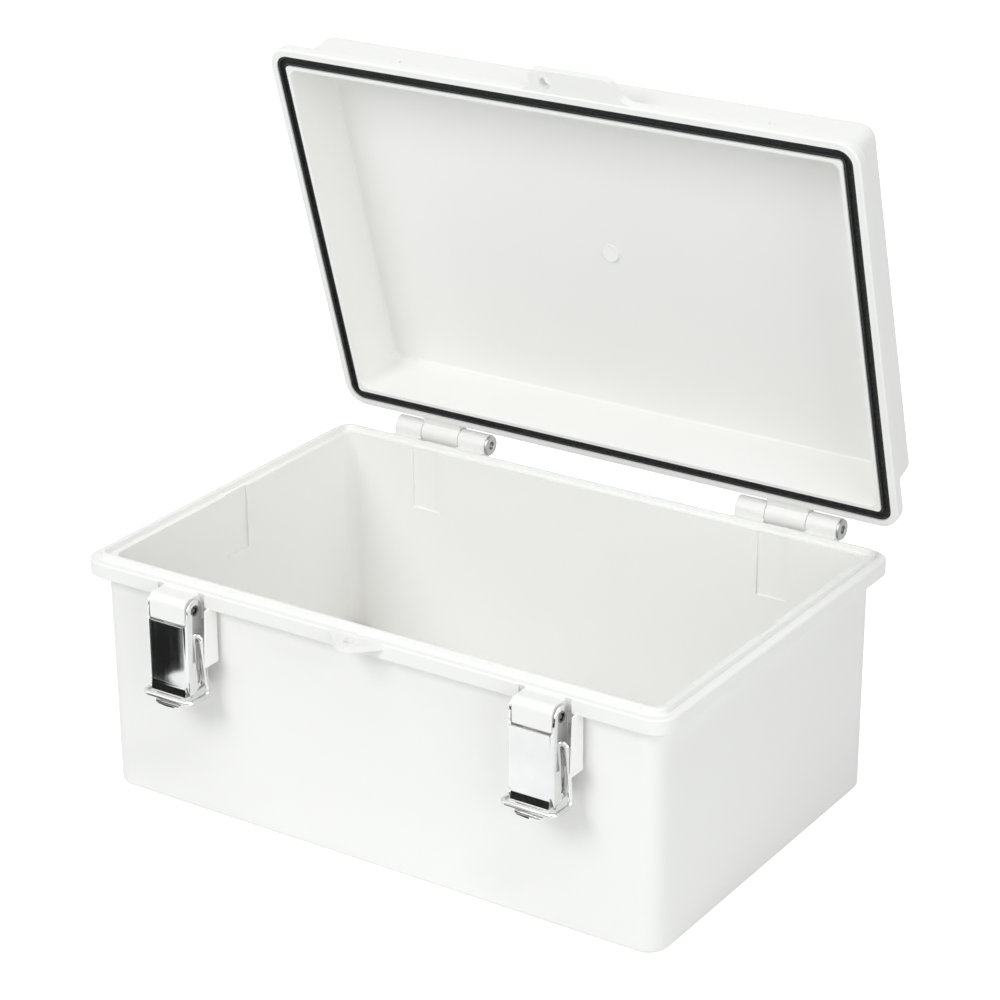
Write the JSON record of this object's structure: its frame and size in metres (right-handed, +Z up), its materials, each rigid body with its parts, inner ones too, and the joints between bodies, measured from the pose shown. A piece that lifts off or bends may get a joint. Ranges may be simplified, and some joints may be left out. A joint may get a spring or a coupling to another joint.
{
  "type": "hinged enclosure",
  "caption": "Rectangular ABS enclosure with a gasketed lid on rear hinges, draw latches with wire bails on the front and padlock eyes.",
  "frame": {"origin": "centre of the plane on which the four corner feet stand, under the middle of the box", "axes": "+X to the right along the latch side, -Y towards the latches, +Y towards the hinges, +Z up out of the open box"},
  "size_m": [0.29, 0.2355, 0.3123],
  "materials": {
    "abs_shell": "satin moulded ABS, near white",
    "gasket_rubber": "matt black foamed rubber",
    "lever_steel": "mirror-polished stainless sheet",
    "wire_steel": "bright drawn stainless wire",
    "pin_steel": "turned stainless",
    "insert_brass": "turned brass"
  },
  "bodies": {
    "base": {"base_tray": "abs_shell", "base_padlock_eye": "abs_shell", "plate_insert_front_left": "insert_brass", "wall_insert_front_left": "insert_brass", "plate_insert_front_right": "insert_brass", "wall_insert_front_right": "insert_brass", "plate_insert_back_left": "insert_brass", "wall_insert_back_left": "insert_brass", "plate_insert_back_right": "insert_brass", "wall_insert_back_right": "insert_brass", "hinge_pin_left": "pin_steel", "latch_pivot_pin_left": "pin_steel", "hinge_pin_right": "pin_steel", "latch_pivot_pin_right": "pin_steel"},
    "lid": {"lid_cover": "abs_shell", "lid_gasket": "gasket_rubber", "lid_padlock_eye": "abs_shell"},
    "lever_left": {"latch_lever_left": "lever_steel"},
    "bail_left": {"latch_bail_left": "wire_steel"},
    "lever_right": {"latch_lever_right": "lever_steel"},
    "bail_right": {"latch_bail_right": "wire_steel"}
  },
  "joints": [
    {"name": "lid_hinge", "type": "hinge", "parent": "base", "child": "lid", "pos_m": [0, 0.10345, 0.1107], "axis": [-1, 0, 0], "range_deg": [-73.6, 106.4]},
    {"name": "lever_left_pivot", "type": "hinge", "parent": "base", "child": "lever_left", "pos_m": [-0.0903, -0.09995, 0.1022], "axis": [-1, 0, 0], "range_deg": [0, 155]},
    {"name": "bail_left_pivot", "type": "hinge", "parent": "lever_left", "child": "bail_left", "pos_m": [-0.0903, -0.0987, 0.09], "axis": [-1, 0, 0], "range_deg": [0, 180]},
    {"name": "lever_right_pivot", "type": "hinge", "parent": "base", "child": "lever_right", "pos_m": [0.0903, -0.09995, 0.1022], "axis": [-1, 0, 0], "range_deg": [0, 155]},
    {"name": "bail_right_pivot", "type": "hinge", "parent": "lever_right", "child": "bail_right", "pos_m": [0.0903, -0.0987, 0.09], "axis": [-1, 0, 0], "range_deg": [0, 180]}
  ]
}
